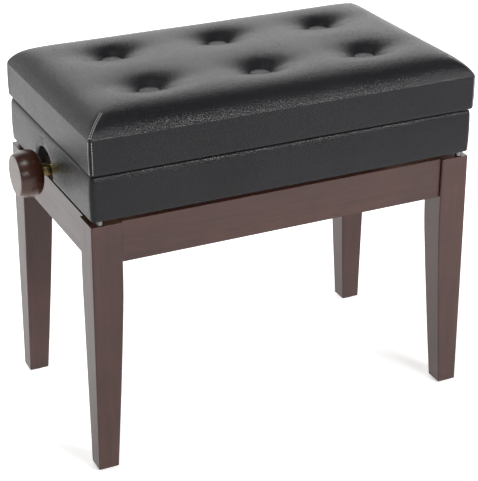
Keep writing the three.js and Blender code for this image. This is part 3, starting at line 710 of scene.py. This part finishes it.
# rows of the cover's section: where it is measured from, how far, and how deep it lies
OUTSIDE = (
    [("edge", -WRAP, 12.6), ("edge", -WRAP, 8.0), ("edge", -WRAP, 3.6), ("edge", -0.3, 1.9),
     ("edge", 0.3, 0.85), ("edge", 1.4, 0.2), ("edge", BOTTOM_ROLL, 0.0)]
    + [("face", t, 0.0) for t in np.linspace(0, 1, 12)[1:-1]]
    + [("top", TOP_ROLL, 0.0), ("top", 6.0, 0.25), ("top", 3.4, 0.7), ("top", 1.7, 1.3),
       ("top", 0.6, 2.0), ("top", 0.1, 2.8), ("top", 0.0, 4.0), ("top", 0.0, 12.2),
       ("top", 0.3, 12.95), ("top", 1.0, 13.15), ("top", 6.5, 13.2)])
INSIDE = (
    [("top", 6.5, 12.75), ("top", 1.3, 12.75), ("top", WRAP + 0.05, 12.3),
     ("top", WRAP + 0.05, 6.0), ("top", 1.5, 4.2), ("top", TOP_ROLL, 2.5)]
    + [("face", t, 2.5) for t in (0.75, 0.5, 0.25)]
    + [("edge", BOTTOM_ROLL, 2.5), ("edge", 0.6, 2.65), ("edge", -0.03, 3.4),
       ("edge", -0.03, 8.0), ("edge", -0.03, 12.6)])


def cover_point(column, row, seam_at):
    """Where a row of the section meets a column of the outline."""
    place, out, shift, axis, along, start_z, way = column
    kind, value, inset = row
    way_along, way_up = way
    side = abs(out[0]) if axis == 1 else 0.0
    if kind == "edge":
        move, z = along + way_along * value, start_z + way_up * value
    elif kind == "top":
        move, z = 0.0, wrap_top - value
    else:
        low_move = along + way_along * BOTTOM_ROLL
        low_z = start_z + way_up * BOTTOM_ROLL
        move = low_move * (1 - smoothstep(value) * 0.5 - value * 0.5)
        z = low_z + (wrap_top - TOP_ROLL - low_z) * value
    outer = inset < OUTER_DEPTH
    if outer and kind == "face":
        inset = inset - FACE_BULGE * math.sin(math.pi * value)
    if outer and side > 0.5 and kind != "edge":
        beyond = place[1] + move - seam_at
        lap = smoothstep(beyond / 1.2) * math.exp(-max(beyond, 0) / 14.0)
        inset += SEAM_STEP * float(lap) * (1 if kind == "face" else 0.2)
    if outer:
        inset += 0.14 * float(waves(place[0] + 0.7 * place[1], 2.0 * z, 34.0))
    over = max(inset - (BOX_RADIUS - 0.6), 0)
    position = place - out * min(inset, BOX_RADIUS - 0.6) - shift * over
    if move:
        position[axis] += move
    return position[0], position[1], z


def make_box_cover():
    """The box's vinyl: over the outer face, over the walls' tops and into the notches."""
    columns = cover_columns()
    seam_at = notch_shape()[0] - 1.0
    rows = OUTSIDE + INSIDE
    points = [cover_point(column, row, seam_at) for row in rows for column in columns]
    faces = grid_faces(len(rows), len(columns), True, True)
    cover = make("box_wrap", points, faces, VINYL, "seat_box")
    subdivide(cover)
    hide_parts("box_cover")


# ------------------------------------------------------------------ knobs and drive shaft
SHAFT_BORE = 5.2        # radius, in the knobs and collars
THREAD_LEAD = 4.0
THREAD_DEPTH = 0.8


def inner_end(node, sx):
    """The middle of a turned piece's inner end, its length and its radius."""
    low, high = box_mm(node)
    centre = (low + high) / 2
    inner_x = low[0] if sx > 0 else high[0]
    return (inner_x, centre[1], centre[2]), high[0] - low[0], (high[2] - low[2]) / 2


def make_knob(end, sx):
    """A barrel-shaped knob with a flat outer face and a rounded rim."""
    origin, length, radius = inner_end(f"knob_{end}", sx)
    profile = [
        (SHAFT_BORE, 3.0), (SHAFT_BORE, 0.4), (SHAFT_BORE + 0.6, 0.0), (14.0, 0.0), (19.5, 0.2),
        (23.3, 1.2), (26.3, 2.8), (28.6, 4.9), (30.1, 7.4), (31.1, 10.4), (radius, 13.8),
        (radius, 17.4), (31.2, length - 12.3), (30.5, length - 9.0), (29.5, length - 5.6),
        (28.5, length - 2.9), (28.1, length - 1.9), (27.7, length - 1.0),
        (27.0, length - 0.35), (26.0, length - 0.05), (24.5, length), (12.0, length),
        (0.4, length)]
    points, faces = turned(eased(profile), origin, (sx, 0, 0), 96)
    knob = make(f"turned_knob_{end}", points, faces, KNOB_WOOD, "drive")
    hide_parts(f"knob_{end}")


def make_collar(end, sx):
    """A brass collar with chamfered ends and one groove."""
    origin, length, radius = inner_end(f"shaft_collar_{end}", sx)
    profile = [(SHAFT_BORE, 0), (radius - 0.7, 0), (radius, 0.7), (radius, 6.0),
               (radius - 0.8, 6.5), (radius - 0.8, 7.6), (radius, 8.1), (radius, length - 1.2),
               (radius - 0.9, length - 0.2), (SHAFT_BORE, length)]
    points, faces = turned(profile, origin, (sx, 0, 0), 40, closed=True)
    collar = make(f"turned_collar_{end}", points, faces, BRASS, "drive")
    edged(collar, 0.25)
    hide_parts(f"shaft_collar_{end}")


def make_drive_shaft():
    """A plain rod with a single-start trapezoidal thread where the nut travels."""
    low, high = box_mm("drive_shaft")
    centre = (low + high) / 2
    radius = (high[2] - low[2]) / 2
    nut_low, nut_high = box_mm("nut_block")
    start, stop = nut_low[0] - 50, nut_high[0] + 28
    xs = np.concatenate([[low[0], low[0] + 1], np.linspace(-250, start - 3, 8),
                         np.arange(start, stop, 0.5), np.linspace(stop + 3, 250, 6),
                         [high[0] - 1, high[0]]])
    sides = 24
    angles = np.arange(sides) * 2 * math.pi / sides
    points = []
    for x in xs:
        depth = THREAD_DEPTH * smoothstep((x - start) / 4) * smoothstep((stop - x) / 4)
        phase = 2 * math.pi * x / THREAD_LEAD - angles
        cut = np.clip(0.5 + 0.9 * np.cos(phase), 0, 1)
        ring = radius - depth * cut - (1.0 if x in (low[0], high[0]) else 0)
        points.append(np.column_stack([np.full(sides, x), centre[1] + ring * np.cos(angles),
                                       centre[2] + ring * np.sin(angles)]))
    faces = grid_faces(len(xs), sides, True)
    last = (len(xs) - 1) * sides
    faces += [tuple(reversed(range(sides))), tuple(range(last, last + sides))]
    shaft = make("threaded_shaft", np.concatenate(points), faces, STEEL, "drive")
    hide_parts("drive_shaft")


# ------------------------------------------------------------------ pieces kept from the CAD
def edged(obj, width):
    """Softens sharp edges. The vertices of a CAD piece stay as they are."""
    weld = obj.modifiers.new("weld", "WELD")
    weld.merge_threshold = 0.00001
    bevel = obj.modifiers.new("bevel", "BEVEL")
    bevel.width = width * MM
    bevel.segments = 3
    bevel.limit_method = "ANGLE"
    bevel.angle_limit = math.radians(32)
    normals = obj.modifiers.new("normals", "WEIGHTED_NORMAL")
    normals.keep_sharp = True


def dress(node, material, width):
    """Gives a CAD piece its material and softened edges."""
    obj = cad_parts[node]
    mesh = obj.data
    if "custom_normal" in mesh.attributes:
        mesh.attributes.remove(mesh.attributes["custom_normal"])
    mesh.polygons.foreach_set("use_smooth", [True] * len(mesh.polygons))
    mesh.materials.clear()
    mesh.materials.append(material)
    edged(obj, width)


def dress_frame():
    for corner, _, _ in CORNERS:
        dress(f"leg_{corner}", WALNUT["z"], 0.5)
        dress(f"glide_{corner}", PLASTIC, 0.6)
        dress(f"corner_block_{corner}", RAW_WOOD_WITH_PAINTED_SHADE["x"], 0.5)
        dress(f"bumper_stud_{corner}", DARK_STEEL, 0.7)
    for side, _ in SIDES:
        dress(f"apron_{side}", WALNUT["x"], 0.9)
        dress(f"base_channel_{side}", BLACK_STEEL, 0.35)
        dress(f"top_channel_{side}", BLACK_STEEL, 0.35)
        dress(f"lift_arm_outer_{side}", STEEL, 0.3)
        dress(f"lift_arm_inner_{side}", STEEL, 0.3)
        dress(f"box_wall_{side}", PLYWOOD, 0.3)
    for end, _ in ENDS:
        dress(f"apron_{end}", WALNUT["y"], 0.9)
        dress(f"cross_rail_{end}", RAW_WOOD_WITH_PAINTED_SHADE["y"], 0.8)
        dress(f"shaft_bracket_{end}", BLACK_STEEL, 0.4)
        dress(f"box_wall_{end}", PLYWOOD, 0.3)
    dress("box_floor", PLYWOOD, 0.3)
    dress("lid_board", PLYWOOD, 0.8)
    dress("travelling_cross_shaft", STEEL, 0.6)
    dress("nut_block", BRASS, 0.8)
    dress("hinge_pin", STEEL, 0.15)
    for node in ("hinge_leaf_box", "hinge_leaf_lid"):
        dress(node, BRASS, 0.12)
    for node in ("stay_bracket", "stay_link_long", "stay_link_short"):
        dress(node, BRASS, 0.25)


# ------------------------------------------------------------------ screws and bolts
UP, DOWN = (0, 0, 1), (0, 0, -1)


def cross_outline(angle):
    """A plus-shaped recess, for the rings of a screw's driving cross."""
    c, s = abs(math.cos(angle)) + 1e-6, abs(math.sin(angle)) + 1e-6
    bar = 0.3
    return max(min(1 / c, bar / s), min(1 / s, bar / c))


def hex_outline(angle):
    """A hexagon round the unit circle, for a nut's rings."""
    part = math.pi / 3
    return 1 / math.cos((angle % part) - part / 2)


def screw(place, direction):
    """A round-headed wood screw's head, with a cross recess."""
    r, h = 3.4, 1.3
    profile = [(r - 0.3, -0.6), (r, 0.0), (0.94 * r, 0.35 * h), (0.76 * r, 0.75 * h), (0.62 * r, h),
               (0.56 * r, h, 1), (0.5 * r, 0.2 * h, 1), (0.1 * r, -0.2 * h)]
    return turned(profile, place, direction, 32, cross_outline)


def bolt(place, direction):
    """A leg bolt's end: washer, hexagon nut and a short threaded tail."""
    washer = turned([(8.0, 0), (8.0, 1.0), (7.6, 1.4), (3.2, 1.4)], place, direction, 32)
    nut = turned([(5.6, 1.2, 1), (5.8, 1.7, 1), (5.8, 5.6, 1), (5.3, 6.3, 1), (3.2, 6.4)],
                 place, direction, 36, hex_outline)
    tail = [(3.0 - 0.35 * (k % 2), 6.0 + 0.6 * k) for k in range(12)] + [(2.0, 13.0)]
    return [washer, nut, turned(tail, place, direction, 20)]


def fasten(name, parts, body):
    """One piece of several bright steel fasteners."""
    piece = make(name, *joined(parts), BRIGHT_STEEL, body)
    piece.data.set_sharp_from_angle(angle=math.radians(38))


def make_leg_bolts():
    """Bolts from the legs through the corner blocks, square to the blocks' inner faces."""
    bolts = []
    for corner, sx, sy in CORNERS:
        low, high = box_mm(f"corner_block_{corner}")
        middle = (low + high) / 2
        reach = (high - low)[:2] / 2
        face = middle[:2] - np.array([sx, sy]) * (reach - 21.9)
        bolts += bolt((face[0], face[1], middle[2]), (-sx, -sy, 0))
    fasten("leg_bolts", bolts, "frame")


def make_rail_screws():
    """Screws of the base channels and the shaft brackets, in the cross rails."""
    screws = []
    for side, sy in SIDES:
        low, high = box_mm(f"base_channel_{side}")
        y = high[1] - 9 if sy > 0 else low[1] + 9
        for end, _ in ENDS:
            rail_low, rail_high = box_mm(f"cross_rail_{end}")
            x = (rail_low[0] + rail_high[0]) / 2
            screws += [screw((x + dx, y, low[2] + 2.5), UP) for dx in (-9, 9)]
    for end, sx in ENDS:
        low, high = box_mm(f"shaft_bracket_{end}")
        x = low[0] + 7 if sx > 0 else high[0] - 7
        screws += [screw((x, y, low[2] + 3.0), UP) for y in (-9, 9)]
    fasten("rail_screws", screws, "frame")


def make_floor_screws():
    """Screws of the top channels, up into the box's floor."""
    screws = []
    for side, sy in SIDES:
        low, high = box_mm(f"top_channel_{side}")
        y = high[1] - 8 if sy > 0 else low[1] + 8
        screws += [screw((x, y, high[2] - 2.5), DOWN) for x in (-170, -60, 60, 170)]
    fasten("floor_screws", screws, "seat_box")


# ------------------------------------------------------------------ lid's turned-under hem
def make_lid_hem():
    """The cover's edge, turned in under the lid board. It stops at the hinge."""
    width, thick, inset = 23.0, 0.6, 2.4
    z_top = lid_low[2] - 0.02
    ends = box_mm("hinge_leaf_lid")[1][0] + 1.0
    a, b = lid_half[:2] - inset
    path = [(-ends, b)] + [(-a, b)] + [(-a, y) for y in np.linspace(b, -b, 60)[1:-1]]
    path += [(x, -b) for x in np.linspace(-a, a, 100)]
    path += [(a, y) for y in np.linspace(-b, b, 60)[1:]] + [(ends, b)]
    path = np.array(path)
    inner = []
    for k, (x, y) in enumerate(path):
        wobble = width + 0.8 * math.sin(0.9 * k) + 0.5 * math.sin(2.3 * k + 1)
        inner.append((np.sign(x) * min(abs(x), a - wobble), max(min(y, b - wobble), wobble - b)))
    inner = np.array(inner)
    rows = [(0.0, 0.0), (0.0, thick), (0.5, thick + 0.1), (1.0, thick), (1.0, 0.0)]
    points = []
    for t, drop in rows:
        flat = path * (1 - t) + inner * t + lid_middle[:2]
        points.append(np.column_stack([flat, np.full(len(flat), z_top - drop)]))
    count = len(path)
    faces = grid_faces(len(rows), count, False, True)
    faces.append(tuple(r * count for r in range(len(rows))))
    faces.append(tuple(r * count + count - 1 for r in reversed(range(len(rows)))))
    hem = make("lid_hem", np.concatenate(points), faces, VINYL, "lid")


# ------------------------------------------------------------------ build
cushion = make_cushion()
for name, (centre, radius, floor) in buttons.items():
    make_button(name, centre, radius, floor)
make_seam_stitches(cushion)
make_lid_hem()
make_box_cover()
for end, sx in ENDS:
    make_knob(end, sx)
    make_collar(end, sx)
make_drive_shaft()
dress_frame()
make_leg_bolts()
make_rail_screws()
make_floor_screws()


# ------------------------------------------------------------------ stage, lights, camera
LIGHT_TARGET = Vector((0, 0, 0.35))


def make_stage():
    """A plain white floor, which glows more behind the bench than in front of it."""
    size = 40.0
    mesh = bpy.data.meshes.new("floor")
    mesh.from_pydata([(-size, -size, 0), (size, -size, 0), (size, size, 0), (-size, size, 0)], [],
                     [(0, 1, 2, 3)])
    floor = bpy.data.objects.new("floor", mesh)
    bpy.context.scene.collection.objects.link(floor)
    material, tree, shader = new_material("studio_floor")
    shader.inputs["Base Color"].default_value = (0.86, 0.86, 0.86, 1)
    shader.inputs["Roughness"].default_value = 0.9
    shader.inputs["Emission Color"].default_value = (1, 1, 1, 1)
    far = put(tree, "SeparateXYZ", None, {
        "Vector": put(tree, "TexCoord").outputs["Object"]}).outputs["Y"]
    glow = spread(tree, far, -0.1, 0.6, 0.42, 1.2)
    tree.links.new(glow, shader.inputs["Emission Strength"])
    mesh.materials.append(material)
    floor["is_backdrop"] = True


def make_world():
    """A pale studio: bright to the horizon and high up behind, darker overhead."""
    world = bpy.data.worlds.new("studio")
    bpy.context.scene.world = world
    world.use_nodes = True
    tree = world.node_tree
    direction = put(tree, "TexCoord").outputs["Generated"]
    parts = put(tree, "SeparateXYZ", None, {0: direction})
    level = arithmetic(tree, "SUBTRACT", parts.outputs["Z"],
                       arithmetic(tree, "MULTIPLY", parts.outputs["Y"], 0.45))
    bright = put(tree, "MapRange", {"interpolation_type": "SMOOTHSTEP"}, {
        "Value": level, "From Min": 0.15, "From Max": 0.55, "To Min": 1.1,
        "To Max": 0.12}).outputs[0]
    tree.links.new(bright, tree.nodes["Background"].inputs["Strength"])
    tree.nodes["Background"].inputs["Color"].default_value = (1, 1, 1, 1)


def make_light(name, azimuth, elevation, distance, width, height, power):
    """A soft rectangular light that faces the bench: angles in degrees, sizes in metres."""
    data = bpy.data.lights.new(name, "AREA")
    data.shape = "RECTANGLE"
    data.size, data.size_y, data.energy = width, height, power
    light = bpy.data.objects.new(name, data)
    a, e = math.radians(azimuth), math.radians(elevation)
    away = Vector((math.sin(a) * math.cos(e), -math.cos(a) * math.cos(e), math.sin(e)))
    light.location = LIGHT_TARGET + away * distance
    light.rotation_mode = "QUATERNION"
    light.rotation_quaternion = away.to_track_quat("Z", "Y")
    light.visible_camera = False
    bpy.context.scene.collection.objects.link(light)


def make_camera():
    """To the front and left of the bench, looking down on it."""
    data = bpy.data.cameras.new("camera")
    data.lens = 112.98
    data.sensor_width = 36.0
    camera = bpy.data.objects.new("camera", data)
    camera.location = (-0.8333, -1.7536, 1.1510)
    heading, fall = math.radians(25.47), math.radians(25.71)
    look = Vector((math.sin(heading) * math.cos(fall), math.cos(heading) * math.cos(fall),
                   -math.sin(fall)))
    camera.rotation_mode = "QUATERNION"
    camera.rotation_quaternion = look.to_track_quat("-Z", "Y")
    bpy.context.scene.collection.objects.link(camera)
    bpy.context.scene.camera = camera


make_stage()
make_world()
make_light("back_panel", 155, 27, 2.9, 3.2, 1.5, 21)
make_light("front_softbox", 24, 25, 2.6, 1.3, 0.12, 62)
make_light("front_high", -60, 68, 2.4, 0.6, 0.6, 13)
make_light("front_low", -28, 23, 2.4, 0.4, 0.4, 7)
make_camera()
bpy.context.scene.view_settings.view_transform = "Standard"

low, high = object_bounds()
